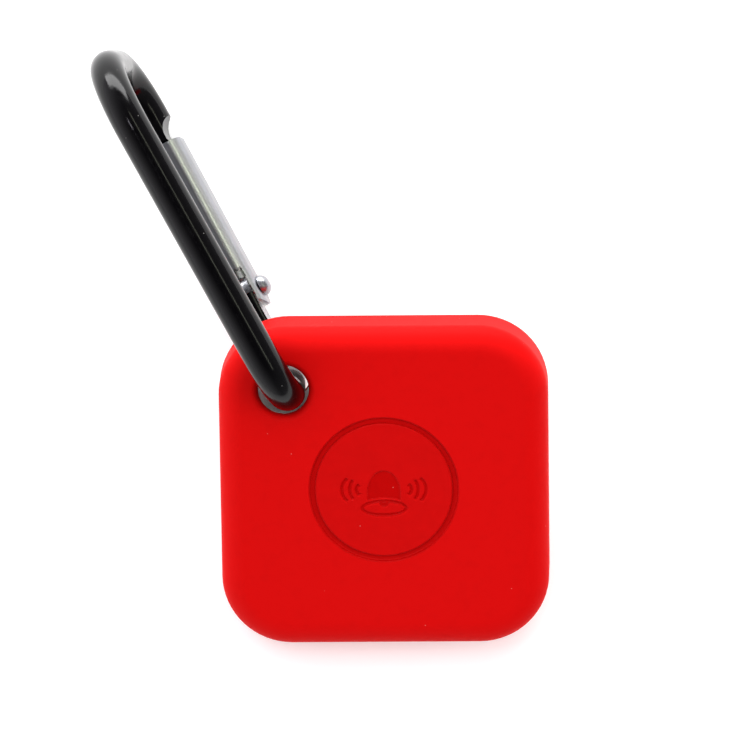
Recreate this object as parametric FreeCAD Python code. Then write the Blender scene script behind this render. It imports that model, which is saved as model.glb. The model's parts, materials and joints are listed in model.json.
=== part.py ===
import FreeCAD, Part
import math
import os

# Square tracker tag in a silicone sleeve, hung on a small D carabiner. Millimetres.
#
# The tag is drawn in its own frame: X right, Y up, Z out of its face, origin at its middle.
# The carabiner is drawn in a loop frame: X along its spine, Y from spine to gate, Z across the
# loop. The gate has a frame of its own, with the rivet as origin and X towards the nose.
# At the end everything is laid down as it rests on a table: the tag leans on its lower edge,
# propped up at the hole by the carabiner, whose nose touches the table.

Vector = FreeCAD.Vector

# ---------------------------------------------------------------- tag, driving dimensions
SLEEVE_SIDE = 37.5
SLEEVE_DEPTH = 8.2
SLEEVE_CORNER = 8.0
SLEEVE_FRONT_ROUND = 2.0
SLEEVE_BACK_ROUND = 1.4
SLEEVE_WALL = 1.25
SLEEVE_FRONT_WALL = 1.2
SLEEVE_BACK_LIP = 0.8
BACK_WINDOW_SIDE = 29.0
BACK_WINDOW_CORNER = 4.5
FIT_GAP = 0.05

HOLE_X = -11.3
HOLE_Y = 11.7
HOLE_RADIUS = 2.9
EYELET_RADIUS = 3.0
EYELET_WALL = 0.6
EYELET_LAND_RADIUS = 5.0

TRACKER_SIDE = SLEEVE_SIDE - 2 * SLEEVE_WALL
TRACKER_CORNER = SLEEVE_CORNER - SLEEVE_WALL
SLEEVE_FRONT = SLEEVE_DEPTH / 2
SLEEVE_BACK = -SLEEVE_DEPTH / 2
TRACKER_FRONT = SLEEVE_FRONT - SLEEVE_FRONT_WALL
TRACKER_BACK = SLEEVE_BACK + SLEEVE_BACK_LIP
SHELL_WALL = 1.0
SHELL_SKIN = 0.8
SHELL_EDGE_ROUND = 0.5
SPLIT_Z = -0.4
SEAL_THICKNESS = 0.3
INNER_SIDE = TRACKER_SIDE - 2 * SHELL_WALL
INNER_CORNER = TRACKER_CORNER - SHELL_WALL
CEILING_Z = TRACKER_FRONT - SHELL_SKIN
FLOOR_Z = TRACKER_BACK + SHELL_SKIN

# ---------------------------------------------------------------- press pad and button
GROOVE_RADIUS = 8.45
PAD_RADIUS = 7.85
PAD_GAP = 0.12
WEB_THICKNESS = 0.4
RIM_ROUND = 0.2
BUTTON_RADIUS = 8.05
BUTTON_GAP = 0.1
FLANGE_RADIUS = 8.75
FLANGE_THICKNESS = 0.25
POST_RADIUS = 0.85
BUTTON_TRAVEL = 0.25

SYMBOL_DEPTH = 0.25
SYMBOL_STROKE = 0.35
BELL_HALF_WIDTH = 1.91
BELL_DOME_HEIGHT = 2.67
BELL_DOME_BASE = -0.43
BELL_RIM_HALF_WIDTH = 2.66
BELL_RIM_HALF_HEIGHT = 1.08
BELL_RIM_Y = -2.15
CLAPPER_RADIUS = 0.63
CLAPPER_TOP = -1.48
# each sound wave: distance from the middle, radius of its arc, half of its height
SOUND_WAVES = [(3.15, 0.70, 0.50), (3.90, 1.90, 1.00), (4.80, 1.75, 1.22)]

# ---------------------------------------------------------------- inside the tracker
BOARD_Z = 0.5
BOARD_THICKNESS = 0.6
BOARD_TOP = BOARD_Z + BOARD_THICKNESS
BOARD_MARGIN = 0.4
BOARD_NOTCH_RADIUS = 4.1
STANDOFF_RADIUS = 0.9
STANDOFF_PIN_RADIUS = 0.45
STANDOFF_PLACES = [(14.6, 4.5), (14.6, -4.5), (-14.6, 3.5), (-14.6, -4.5)]
CELL_RADIUS = 10.0
CELL_THICKNESS = 2.5
CELL_CAP_RADIUS = 8.9
CELL_SHEET = 0.3
COVER_RADIUS = 10.5
COVER_GAP = 0.35
COVER_PLATE = 0.9
COVER_RIM_INNER = 10.15
COVER_RIM_TOP = -1.2
LUG_RADIUS = 11.5
LUG_HALF_ANGLE = 9
LUG_COUNT = 3
COVER_TURN = 30
SEAL_CORD_RADIUS = 0.2
COIN_SLOT_LENGTH = 11.0
COIN_SLOT_WIDTH = 1.5
COIN_SLOT_DEPTH = 0.45
SOUNDER_X = 10.3
SOUNDER_Y = -10.3
SOUNDER_RADIUS = 4.6

# ---------------------------------------------------------------- carabiner
ROD_RADIUS = 2.0
LOOP_CREST_X = 41.4
LOOP_BOTTOM_SLOPE = 12.35
LOOP_HOLE_Y = 9.2
GATE_LEAN = 7.4
RIVET_X = 11.4
RIVET_Y = 16.7
NOSE_TIP_X = 22.6
TOP_SPINE_BEND = 8.0
TOP_NOSE_BEND = 6.5
BOTTOM_SPINE_BEND = 4.6
BOTTOM_GATE_BEND = 6.0
MILL_RADIUS = 2.1
NOSE_THICKNESS = 1.25
NOSE_FLAT_X = 20.6
NOSE_END_X = 17.4
NOSE_NOTCH_X = 20.0
NOSE_NOTCH_Y = -1.1
HINGE_THICKNESS = 1.9
HINGE_FLAT_X = -3.6
HINGE_ROD_END_X = -5.5
HINGE_CAM_RADIUS = 1.75
HINGE_CAM_OFFSET = 0.6
HINGE_CAM_START_X = -0.3
GATE_LENGTH = 19.75
GATE_WIDTH = 3.7
GATE_HALF_HEIGHT = 2.0
GATE_SHEET = 0.7
GATE_CORNER = 1.45
GATE_WINDOW_X = 2.9
GATE_END_RADIUS = 2.25
RIVET_RADIUS = 0.75
RIVET_GAP = 0.04
RIVET_HEAD_RADIUS = 1.25
RIVET_HEAD_HEIGHT = 1.1
PLUNGER_RADIUS = 1.0
PLUNGER_X = HINGE_CAM_RADIUS + 0.05
SPRING_STOP_X = 11.0
SPRING_RADIUS = 0.8
SPRING_WIRE_RADIUS = 0.15
SPRING_TURNS = 7

# ---------------------------------------------------------------- how it lies
ROD_OFFSET_X = 0.40
ROD_OFFSET_Y = -0.25
LOOP_SWING = 29.6
LOOP_ROLL = 2.34
TAG_TILT = 15.52


# ================================================================= small helpers
def disc(radius, z0, z1, x=0.0, y=0.0):
    """Upright cylinder between two heights."""
    return Part.makeCylinder(radius, z1 - z0, Vector(x, y, z0))


def ring(inner, outer, z0, z1, x=0.0, y=0.0):
    """Flat ring between two heights."""
    return disc(outer, z0, z1, x, y).cut(disc(inner, z0, z1, x, y))


def block(size_x, size_y, z0, z1, x=0.0, y=0.0):
    """Box centred on x, y between two heights."""
    return Part.makeBox(size_x, size_y, z1 - z0, Vector(x - size_x / 2, y - size_y / 2, z0))


def is_level(edge, z):
    """True for an edge that lies at one height."""
    return abs(edge.BoundBox.ZMin - z) < 1e-4 and abs(edge.BoundBox.ZMax - z) < 1e-4


def is_upright(edge):
    """True for a straight edge along Z."""
    box = edge.BoundBox
    return box.XLength < 1e-4 and box.YLength < 1e-4


def is_near(edge, x, y, reach):
    """True for an edge whose box stays within reach of x, y."""
    box = edge.BoundBox
    return (abs(box.XMin - x) < reach and abs(box.XMax - x) < reach
            and abs(box.YMin - y) < reach and abs(box.YMax - y) < reach)


def rounded(shape, radius, wanted):
    """Round the edges for which wanted(edge) is true."""
    edges = [edge for edge in shape.Edges if wanted(edge)]
    return shape.makeFillet(radius, edges)


def rounded_square(side, corner, z0, z1):
    """Square plate with rounded corners."""
    return rounded(block(side, side, z0, z1), corner, is_upright)


def prism(wires, z0, z1):
    """Solid between two heights over a flat outline drawn at z = 0."""
    face = Part.Face(wires)
    solid = face.extrude(Vector(0, 0, z1 - z0))
    solid.translate(Vector(0, 0, z0))
    return solid


def hole_cutter(radius, z0, z1):
    """Cylinder on the axis of the corner hole."""
    return disc(radius, z0, z1, HOLE_X, HOLE_Y)


def on_circle(radius, degrees):
    """Point on a circle round the origin."""
    angle = math.radians(degrees)
    return Vector(radius * math.cos(angle), radius * math.sin(angle), 0)


# ================================================================= sleeve and press pad
def make_silicone_sleeve():
    """Soft sleeve: closed front with the pad's opening, thin walls, wide open back."""
    body = rounded_square(SLEEVE_SIDE, SLEEVE_CORNER, SLEEVE_BACK, SLEEVE_FRONT)
    body = rounded(body, SLEEVE_FRONT_ROUND, lambda edge: is_level(edge, SLEEVE_FRONT))
    body = rounded(body, SLEEVE_BACK_ROUND, lambda edge: is_level(edge, SLEEVE_BACK))
    pocket_back = TRACKER_BACK - FIT_GAP
    pocket_front = TRACKER_FRONT + FIT_GAP
    pocket = rounded_square(TRACKER_SIDE + 2 * FIT_GAP, TRACKER_CORNER + FIT_GAP, pocket_back, pocket_front)
    window = rounded_square(BACK_WINDOW_SIDE, BACK_WINDOW_CORNER, SLEEVE_BACK - 1, pocket_back)
    window = window.cut(hole_cutter(EYELET_LAND_RADIUS, SLEEVE_BACK - 1, pocket_back))
    web_top = pocket_front + WEB_THICKNESS
    body = body.cut(pocket).cut(window)
    body = body.cut(disc(PAD_RADIUS + PAD_GAP, 0, SLEEVE_FRONT + 1))
    body = body.cut(disc(GROOVE_RADIUS, web_top, SLEEVE_FRONT + 1))
    body = body.cut(hole_cutter(HOLE_RADIUS, SLEEVE_BACK - 1, SLEEVE_FRONT + 1))
    body = rounded(body, RIM_ROUND, lambda edge: is_level(edge, SLEEVE_FRONT)
                   and is_near(edge, 0, 0, GROOVE_RADIUS + 0.1))
    return rounded(body, 2 * RIM_ROUND, lambda edge: is_level(edge, SLEEVE_FRONT)
                   and is_near(edge, HOLE_X, HOLE_Y, HOLE_RADIUS + 0.1))


def ellipse_wire(half_width, half_height, y):
    """Level ellipse, longer in X or in Y."""
    if half_width >= half_height:
        curve = Part.Ellipse(Vector(0, y, 0), half_width, half_height)
        return Part.Wire(curve.toShape())
    curve = Part.Ellipse(Vector(0, y + half_height, 0), Vector(-half_width, y, 0), Vector(0, y, 0))
    return Part.Wire(curve.toShape())


def bell_cutter(z0, z1):
    """Bell: a domed body over an oval rim line, with a clapper."""
    base = BELL_DOME_BASE
    foot = BELL_RIM_Y + BELL_RIM_HALF_HEIGHT * 0.6
    dome = prism([ellipse_wire(BELL_HALF_WIDTH, BELL_DOME_HEIGHT, base)], z0, z1)
    dome = dome.common(block(2 * BELL_HALF_WIDTH, BELL_DOME_HEIGHT, z0, z1, 0, base + BELL_DOME_HEIGHT / 2))
    skirt = block(2 * BELL_HALF_WIDTH, base - foot, z0, z1, 0, (base + foot) / 2)
    rim = prism([ellipse_wire(BELL_RIM_HALF_WIDTH, BELL_RIM_HALF_HEIGHT, BELL_RIM_Y)], z0, z1)
    inner = prism([ellipse_wire(BELL_RIM_HALF_WIDTH - SYMBOL_STROKE,
                                BELL_RIM_HALF_HEIGHT - SYMBOL_STROKE, BELL_RIM_Y)], z0, z1)
    clapper = disc(CLAPPER_RADIUS, z0, z1, 0, CLAPPER_TOP)
    clapper = clapper.common(block(2 * CLAPPER_RADIUS, CLAPPER_RADIUS, z0, z1,
                                   0, CLAPPER_TOP - CLAPPER_RADIUS / 2))
    return dome.fuse([skirt, rim]).cut(inner).fuse(clapper)


def wave_cutter(distance, radius, half_height, side, z0, z1):
    """One sound wave: an arc of even width with round ends, bulging away from the bell."""
    centre = side * (distance - radius)
    half = SYMBOL_STROKE / 2
    arc = ring(radius - half, radius + half, z0, z1, centre)
    keep = block(2 * radius, 2 * half_height, z0, z1, centre + side * radius)
    end_x = centre + side * math.sqrt(radius ** 2 - half_height ** 2)
    ends = [disc(half, z0, z1, end_x, y) for y in (-half_height, half_height)]
    return arc.common(keep).fuse(ends)


def make_press_pad():
    """Round press area of the sleeve with the engraved ringing bell."""
    pad = disc(PAD_RADIUS, TRACKER_FRONT, SLEEVE_FRONT)
    pad = rounded(pad, RIM_ROUND, lambda edge: is_level(edge, SLEEVE_FRONT))
    z0 = SLEEVE_FRONT - SYMBOL_DEPTH
    z1 = SLEEVE_FRONT + 1
    pad = pad.cut(bell_cutter(z0, z1))
    for distance, radius, half_height in SOUND_WAVES:
        for side in (-1, 1):
            pad = pad.cut(wave_cutter(distance, radius, half_height, side, z0, z1))
    return pad


# ================================================================= tracker housing
def make_front_housing():
    """Front shell with the button's opening; its rim sits on the seal."""
    z0 = SPLIT_Z + SEAL_THICKNESS
    shell = rounded_square(TRACKER_SIDE, TRACKER_CORNER, z0, TRACKER_FRONT)
    shell = rounded(shell, SHELL_EDGE_ROUND, lambda edge: is_level(edge, TRACKER_FRONT))
    shell = shell.cut(rounded_square(INNER_SIDE, INNER_CORNER, z0, CEILING_Z))
    shell = shell.cut(disc(BUTTON_RADIUS + BUTTON_GAP, 0, TRACKER_FRONT))
    return shell.cut(hole_cutter(EYELET_RADIUS + EYELET_WALL + FIT_GAP, z0, TRACKER_FRONT))


def bayonet_notches():
    """Slots in the floor through which the cover's lugs drop when it is turned open."""
    notch = sector(LUG_RADIUS + 0.15, LUG_HALF_ANGLE + 2, TRACKER_BACK, FLOOR_Z)
    notches = []
    for index in range(LUG_COUNT):
        turned = notch.copy()
        turned.rotate(Vector(), Vector(0, 0, 1), lug_angle(index) - COVER_TURN)
        notches.append(turned)
    return notches


def lug_angle(index):
    """Direction of a lug when the cover is locked."""
    return index * 360 / LUG_COUNT + 90


def sector(radius, half_angle, z0, z1):
    """Slice of a disc centred on the X axis."""
    start = on_circle(radius, -half_angle)
    middle = Vector(radius, 0, 0)
    end = on_circle(radius, half_angle)
    sides = [Part.LineSegment(Vector(), start), Part.Arc(start, middle, end), Part.LineSegment(end, Vector())]
    return prism([Part.Wire([side.toShape() for side in sides])], z0, z1)


def make_back_housing():
    """Rear shell with the battery opening, the tube of the corner hole and the standoffs."""
    shell = rounded_square(TRACKER_SIDE, TRACKER_CORNER, TRACKER_BACK, SPLIT_Z)
    shell = rounded(shell, SHELL_EDGE_ROUND, lambda edge: is_level(edge, TRACKER_BACK))
    shell = shell.cut(rounded_square(INNER_SIDE, INNER_CORNER, FLOOR_Z, SPLIT_Z))
    shell = shell.cut(disc(COVER_RADIUS + COVER_GAP, TRACKER_BACK, FLOOR_Z)).cut(bayonet_notches())
    standoffs = []
    for x, y in STANDOFF_PLACES:
        standoffs.append(disc(STANDOFF_RADIUS, FLOOR_Z, BOARD_Z, x, y))
        standoffs.append(disc(STANDOFF_PIN_RADIUS, BOARD_Z, BOARD_TOP + 0.3, x, y))
    eyelet = hole_cutter(EYELET_RADIUS + EYELET_WALL, TRACKER_BACK, TRACKER_FRONT)
    shell = shell.fuse(standoffs + [eyelet])
    return shell.cut(hole_cutter(EYELET_RADIUS, TRACKER_BACK, TRACKER_FRONT))


def make_housing_seal():
    """Adhesive seal on the split line."""
    seal = rounded_square(TRACKER_SIDE, TRACKER_CORNER, SPLIT_Z, SPLIT_Z + SEAL_THICKNESS)
    return seal.cut(rounded_square(INNER_SIDE, INNER_CORNER, SPLIT_Z, SPLIT_Z + SEAL_THICKNESS))


def make_button_cap():
    """Hard disc under the pad, kept in by a flange, with a post for the switch."""
    cap = disc(BUTTON_RADIUS, CEILING_Z, TRACKER_FRONT)
    flange = disc(FLANGE_RADIUS, CEILING_Z - FLANGE_THICKNESS, CEILING_Z)
    post = disc(POST_RADIUS, CEILING_Z - FLANGE_THICKNESS - 0.1, CEILING_Z)
    return cap.fuse([flange, post])


# ================================================================= electronics
def make_circuit_board():
    """Board with a round notch beside the corner hole and holes for the standoff pins."""
    side = INNER_SIDE - 2 * BOARD_MARGIN
    board = rounded_square(side, INNER_CORNER - BOARD_MARGIN, BOARD_Z, BOARD_TOP)
    board = board.cut(hole_cutter(BOARD_NOTCH_RADIUS, BOARD_Z, BOARD_TOP))
    pins = [disc(STANDOFF_PIN_RADIUS + 0.05, BOARD_Z, BOARD_TOP, x, y) for x, y in STANDOFF_PLACES]
    return board.cut(pins)


def make_bluetooth_chip():
    """Square flat chip."""
    return block(4.0, 4.0, BOARD_TOP, BOARD_TOP + 0.6, -11.5, -7.5)


def make_crystal():
    """Small metal-lidded crystal beside the chip."""
    return block(2.0, 1.6, BOARD_TOP, BOARD_TOP + 0.5, -7.9, -11.6)


def make_chip_antenna():
    """Ceramic bar antenna at the board's edge."""
    return block(6.5, 1.8, BOARD_TOP, BOARD_TOP + 0.8, 3.5, 13.9)


def make_chip_capacitors():
    """Row of equal capacitors beside the chip."""
    row = [block(0.6, 1.1, BOARD_TOP, BOARD_TOP + 0.5, -12.8 + 1.2 * index, -11.6) for index in range(3)]
    return Part.makeCompound(row)


def make_switch_body():
    """Low push switch, soldered at the middle of the board."""
    body = block(3.6, 3.6, BOARD_TOP, BOARD_TOP + 0.45)
    return body.cut(disc(1.0, BOARD_TOP, BOARD_TOP + 0.45))


def make_switch_plunger():
    """Moving button of the switch, under the cap's post."""
    return disc(0.9, BOARD_TOP + BUTTON_TRAVEL + 0.02, CEILING_Z - FLANGE_THICKNESS - 0.1)


def make_sounder_ring():
    """Foam ring that holds the sounder under the front shell."""
    return ring(SOUNDER_RADIUS - 0.7, SOUNDER_RADIUS, CEILING_Z - 0.3, CEILING_Z, SOUNDER_X, SOUNDER_Y)


def make_sounder_plate():
    """Brass disc of the sounder."""
    return disc(SOUNDER_RADIUS, CEILING_Z - 0.4, CEILING_Z - 0.3, SOUNDER_X, SOUNDER_Y)


def make_sounder_ceramic():
    """Ceramic disc on the brass."""
    return disc(SOUNDER_RADIUS - 1.3, CEILING_Z - 0.5, CEILING_Z - 0.4, SOUNDER_X, SOUNDER_Y)


def make_sounder_springs():
    """Two contact springs from the board to the brass and to the ceramic."""
    tall = block(0.8, 1.2, BOARD_TOP, CEILING_Z - 0.4, SOUNDER_X + 4.0, SOUNDER_Y)
    short = block(0.8, 1.2, BOARD_TOP, CEILING_Z - 0.5, SOUNDER_X - 1.0, SOUNDER_Y)
    return Part.makeCompound([tall, short])


# ================================================================= coin cell and its contacts
CELL_Z = TRACKER_BACK + COVER_PLATE + FIT_GAP
CELL_TOP = CELL_Z + CELL_THICKNESS
CELL_CAN_TOP = CELL_TOP - 0.35


def make_cell_can():
    """Positive can, open towards the board."""
    can = disc(CELL_RADIUS, CELL_Z, CELL_CAN_TOP)
    can = rounded(can, CELL_SHEET, lambda edge: is_level(edge, CELL_Z))
    return can.cut(disc(CELL_RADIUS - CELL_SHEET, CELL_Z + CELL_SHEET, CELL_CAN_TOP))


def make_cell_gasket():
    """Insulating ring between can and cap."""
    return ring(CELL_CAP_RADIUS, CELL_RADIUS - CELL_SHEET, CELL_Z + CELL_SHEET, CELL_CAN_TOP)


def make_cell_cap():
    """Negative cap, standing a little proud of the can."""
    cap = disc(CELL_CAP_RADIUS, CELL_Z + CELL_SHEET, CELL_TOP)
    cap = rounded(cap, 0.3, lambda edge: is_level(edge, CELL_TOP))
    return cap.cut(disc(CELL_CAP_RADIUS - CELL_SHEET, CELL_Z + CELL_SHEET, CELL_TOP - CELL_SHEET))


def make_cell_pellet():
    """The cell's filling."""
    return disc(CELL_CAP_RADIUS - CELL_SHEET, CELL_Z + CELL_SHEET, CELL_TOP - CELL_SHEET)


def make_negative_contact():
    """Leaf under the board that presses on the cap."""
    pad = block(2.4, 2.0, BOARD_Z - 0.12, BOARD_Z, -5.0, 0)
    leaf = block(6.0, 1.4, BOARD_Z - 0.24, BOARD_Z - 0.12, -3.2, 0)
    foot = block(1.2, 1.4, CELL_TOP, BOARD_Z - 0.24, -0.8, 0)
    return pad.fuse([leaf, foot])


def make_positive_contact():
    """Leaf beside the cell, above the cover's rim, that presses on the can's side."""
    reach = CELL_RADIUS
    pad = block(2.4, 3.0, BOARD_Z - 0.15, BOARD_Z, reach + 1.2, 0)
    leaf = block(0.25, 3.0, COVER_RIM_TOP + 0.2, BOARD_Z - 0.15, reach + 0.125, 0)
    return pad.fuse(leaf)


def make_battery_cover():
    """Round cover with a cup for the cell, bayonet lugs, a seal groove and a coin slot."""
    plate_top = TRACKER_BACK + COVER_PLATE
    cover = disc(COVER_RADIUS, TRACKER_BACK, plate_top)
    cover = rounded(cover, 0.15, lambda edge: is_level(edge, TRACKER_BACK))
    cup = ring(COVER_RIM_INNER, COVER_RADIUS, plate_top, COVER_RIM_TOP)
    parts = [cup]
    hub = disc(COVER_RIM_INNER, FLOOR_Z, COVER_RIM_TOP)
    for index in range(LUG_COUNT):
        lug = sector(LUG_RADIUS, LUG_HALF_ANGLE, FLOOR_Z + 0.12, FLOOR_Z + 0.65).cut(hub)
        lug.rotate(Vector(), Vector(0, 0, 1), lug_angle(index))
        parts.append(lug)
    cover = cover.fuse(parts).cut(seal_cord())
    half = COIN_SLOT_LENGTH / 2 - COIN_SLOT_WIDTH / 2
    z1 = TRACKER_BACK + COIN_SLOT_DEPTH
    slot = block(2 * half, COIN_SLOT_WIDTH, TRACKER_BACK, z1)
    ends = [disc(COIN_SLOT_WIDTH / 2, TRACKER_BACK, z1, x, 0) for x in (-half, half)]
    return cover.cut(slot.fuse(ends))


def seal_cord():
    """O-ring round the cover's plate."""
    height = TRACKER_BACK + COVER_PLATE / 2
    radius = COVER_RADIUS + COVER_GAP - SEAL_CORD_RADIUS - 0.02
    return Part.makeTorus(radius, SEAL_CORD_RADIUS, Vector(0, 0, height))


def make_cover_seal():
    """The O-ring itself, seated in the cover's groove."""
    return seal_cord()


# ================================================================= carabiner, loop frame
def bend(before, corner, after, radius):
    """Arc of a given radius that rounds a corner of the rod's line."""
    to_before = (before - corner).normalize()
    to_after = (after - corner).normalize()
    half = to_before.getAngle(to_after) / 2
    start = corner + to_before * (radius / math.tan(half))
    end = corner + to_after * (radius / math.tan(half))
    bisector = (to_before + to_after).normalize()
    middle = corner + bisector * (radius / math.sin(half) - radius)
    return start, middle, end


def gate_line_y(x):
    """Y of the gate's line at a place along the spine."""
    return RIVET_Y + (x - RIVET_X) * math.tan(math.radians(GATE_LEAN))


def bottom_line_x(y):
    """X of the loop's bottom stretch, which crosses the hole at x = 0."""
    return (y - LOOP_HOLE_Y) * math.tan(math.radians(LOOP_BOTTOM_SLOPE))


def bottom_gate_corner():
    """Where the loop's bottom line meets the gate's line."""
    slope = math.tan(math.radians(LOOP_BOTTOM_SLOPE))
    lean = math.tan(math.radians(GATE_LEAN))
    y = (RIVET_Y - lean * (RIVET_X + LOOP_HOLE_Y * slope)) / (1 - lean * slope)
    return Vector(bottom_line_x(y), y, 0)


def rod_line():
    """Centre line of the rod from the hinge end, round the loop, to the nose."""
    hinge_end = loop_point(HINGE_ROD_END_X, 0)
    nose_end = loop_point(NOSE_TIP_X, 0)
    corners = [
        (bottom_gate_corner(), BOTTOM_GATE_BEND),
        (Vector(bottom_line_x(0), 0, 0), BOTTOM_SPINE_BEND),
        (Vector(LOOP_CREST_X, 0, 0), TOP_SPINE_BEND),
        (Vector(LOOP_CREST_X, gate_line_y(LOOP_CREST_X), 0), TOP_NOSE_BEND),
    ]
    points = [hinge_end] + [corner for corner, radius in corners] + [nose_end]
    edges = []
    last = hinge_end
    for index, (corner, radius) in enumerate(corners):
        start, middle, end = bend(points[index], corner, points[index + 2], radius)
        edges.append(Part.LineSegment(last, start).toShape())
        edges.append(Part.Arc(start, middle, end).toShape())
        last = end
    edges.append(Part.LineSegment(last, nose_end).toShape())
    return Part.Wire(edges)


def gate_placement():
    """Gate frame in the loop frame."""
    turn = FreeCAD.Rotation(Vector(0, 0, 1), GATE_LEAN)
    return FreeCAD.Placement(Vector(RIVET_X, RIVET_Y, 0), turn)


def loop_point(x, y):
    """Point of the gate frame, given in the loop frame."""
    return gate_placement().multVec(Vector(x, y, 0))


def into_loop(shape):
    """Move a shape from the gate frame to the loop frame."""
    shape.Placement = gate_placement().multiply(shape.Placement)
    return shape


def gate_box(x0, x1, y0, y1, thickness):
    """Box in the gate frame, centred across the loop."""
    return Part.makeBox(x1 - x0, y1 - y0, thickness, Vector(x0, y0, -thickness / 2))


def straight_rod(x0, x1):
    """Straight end of the rod, in the gate frame."""
    return Part.makeCylinder(ROD_RADIUS, x1 - x0, Vector(x0, 0, 0), Vector(1, 0, 0))


def side_mills(x0, x1, thickness):
    """What a round cutter takes off both sides of the rod to leave a flat tongue."""
    height = thickness / 2 + MILL_RADIUS
    cut = Part.makeBox(x1 - x0, 4 * ROD_RADIUS, MILL_RADIUS, Vector(x0, -2 * ROD_RADIUS, thickness / 2))
    for x in (x0, x1):
        cut = cut.fuse(Part.makeCylinder(MILL_RADIUS, 4 * ROD_RADIUS, Vector(x, -2 * ROD_RADIUS, height),
                                         Vector(0, 1, 0)))
    return cut.fuse(cut.mirror(Vector(), Vector(0, 0, 1)))


def hinge_end():
    """Flat hinge eye on the rod's end, with the cam that the plunger bears on."""
    half = HINGE_THICKNESS / 2
    eye = disc(HINGE_CAM_RADIUS, -half, half)
    cam = disc(HINGE_CAM_RADIUS, -half, half, 0, -HINGE_CAM_OFFSET)
    cam = cam.common(gate_box(HINGE_CAM_START_X, ROD_RADIUS, -2 * ROD_RADIUS, ROD_RADIUS, HINGE_THICKNESS))
    rod = straight_rod(HINGE_ROD_END_X, 0)
    rod = rod.cut(side_mills(HINGE_FLAT_X, 2 * ROD_RADIUS, HINGE_THICKNESS))
    return rod.fuse([eye, cam])


def nose_end():
    """Rod's nose: a thin tongue inside the closed gate, scooped out to the full rod."""
    rod = straight_rod(NOSE_END_X, NOSE_TIP_X)
    rod = rod.cut(side_mills(NOSE_END_X - MILL_RADIUS, NOSE_FLAT_X, NOSE_THICKNESS))
    return rod.cut(gate_box(NOSE_END_X, NOSE_NOTCH_X, -2 * ROD_RADIUS, NOSE_NOTCH_Y, 2 * ROD_RADIUS))


def make_carabiner_body():
    """Bent rod with its two milled ends."""
    path = rod_line()
    start = path.Vertexes[0].Point
    along = loop_point(1, 0) - loop_point(0, 0)
    section = Part.Wire(Part.makeCircle(ROD_RADIUS, start, along))
    rod = path.makePipeShell([section], True, False)
    rod = Part.Solid(rod) if rod.ShapeType != "Solid" else rod
    body = rod.fuse([into_loop(hinge_end()), into_loop(nose_end())])
    bore = disc(RIVET_RADIUS + RIVET_GAP, -ROD_RADIUS, ROD_RADIUS)
    return body.cut(into_loop(bore)).removeSplitter()


def make_carabiner_gate():
    """Folded steel channel with its web towards the spine and rounded cheeks at the rivet."""
    x0 = -GATE_END_RADIUS
    outer = gate_box(x0, GATE_LENGTH, -GATE_HALF_HEIGHT, GATE_HALF_HEIGHT, GATE_WIDTH)
    outer = rounded(outer, GATE_CORNER, lambda edge: abs(edge.BoundBox.YMax + GATE_HALF_HEIGHT) < 1e-4
                    and edge.BoundBox.XLength > 5)
    inner = gate_box(x0 - 1, GATE_LENGTH + 1, -GATE_HALF_HEIGHT + GATE_SHEET,
                     GATE_HALF_HEIGHT + 1, GATE_WIDTH - 2 * GATE_SHEET)
    inner = rounded(inner, GATE_CORNER - GATE_SHEET, lambda edge: edge.BoundBox.XLength > 5
                    and abs(edge.BoundBox.YMax + GATE_HALF_HEIGHT - GATE_SHEET) < 1e-4)
    gate = outer.cut(inner)
    window = gate_box(x0 - 1, GATE_WINDOW_X, -GATE_HALF_HEIGHT - 1,
                      -GATE_HALF_HEIGHT + GATE_CORNER, GATE_WIDTH - 2 * GATE_SHEET)
    gate = gate.cut(window)
    cheek_end = Part.makeBox(GATE_END_RADIUS, 6, 6, Vector(x0, -3, -3))
    gate = gate.cut(cheek_end.cut(disc(GATE_END_RADIUS, -3, 3)))
    tab = gate_box(SPRING_STOP_X, SPRING_STOP_X + 0.5, -GATE_HALF_HEIGHT + GATE_SHEET / 2,
                   GATE_HALF_HEIGHT - 0.6, GATE_WIDTH - 2 * GATE_SHEET - 0.4)
    gate = gate.fuse(tab)
    bore = disc(RIVET_RADIUS, -GATE_WIDTH, GATE_WIDTH)
    return into_loop(gate.cut(bore))


def make_gate_rivet():
    """Rivet with a domed head on each cheek; it turns with the gate."""
    half = GATE_WIDTH / 2
    pin = disc(RIVET_RADIUS, -half, half)
    head = disc(RIVET_HEAD_RADIUS, half, half + RIVET_HEAD_HEIGHT)
    head = rounded(head, RIVET_HEAD_HEIGHT - 0.1, lambda edge: is_level(edge, half + RIVET_HEAD_HEIGHT))
    other = head.mirror(Vector(), Vector(0, 0, 1))
    return into_loop(pin.fuse([head, other]))


def make_gate_plunger():
    """Headed pin in the gate that bears on the hinge cam."""
    head = Part.makeCylinder(PLUNGER_RADIUS, 0.9, Vector(PLUNGER_X, 0, 0), Vector(1, 0, 0))
    stem = Part.makeCylinder(SPRING_RADIUS - 0.4, 3.0, Vector(PLUNGER_X + 0.9, 0, 0), Vector(1, 0, 0))
    return into_loop(head.fuse(stem))


def make_gate_spring():
    """Coil spring between the plunger's head and the gate's tab."""
    start = PLUNGER_X + 0.95 + SPRING_WIRE_RADIUS
    length = SPRING_STOP_X - 0.05 - SPRING_WIRE_RADIUS - start
    helix = Part.makeHelix(length / SPRING_TURNS, length, SPRING_RADIUS)
    section = Part.makeCircle(SPRING_WIRE_RADIUS, Vector(SPRING_RADIUS, 0, 0), Vector(0, 1, 0))
    coil = Part.Wire(helix).makePipeShell([Part.Wire(section)], True, True)
    coil.rotate(Vector(), Vector(0, 1, 0), 90)
    coil.translate(Vector(start, 0, 0))
    return into_loop(coil)


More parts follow.
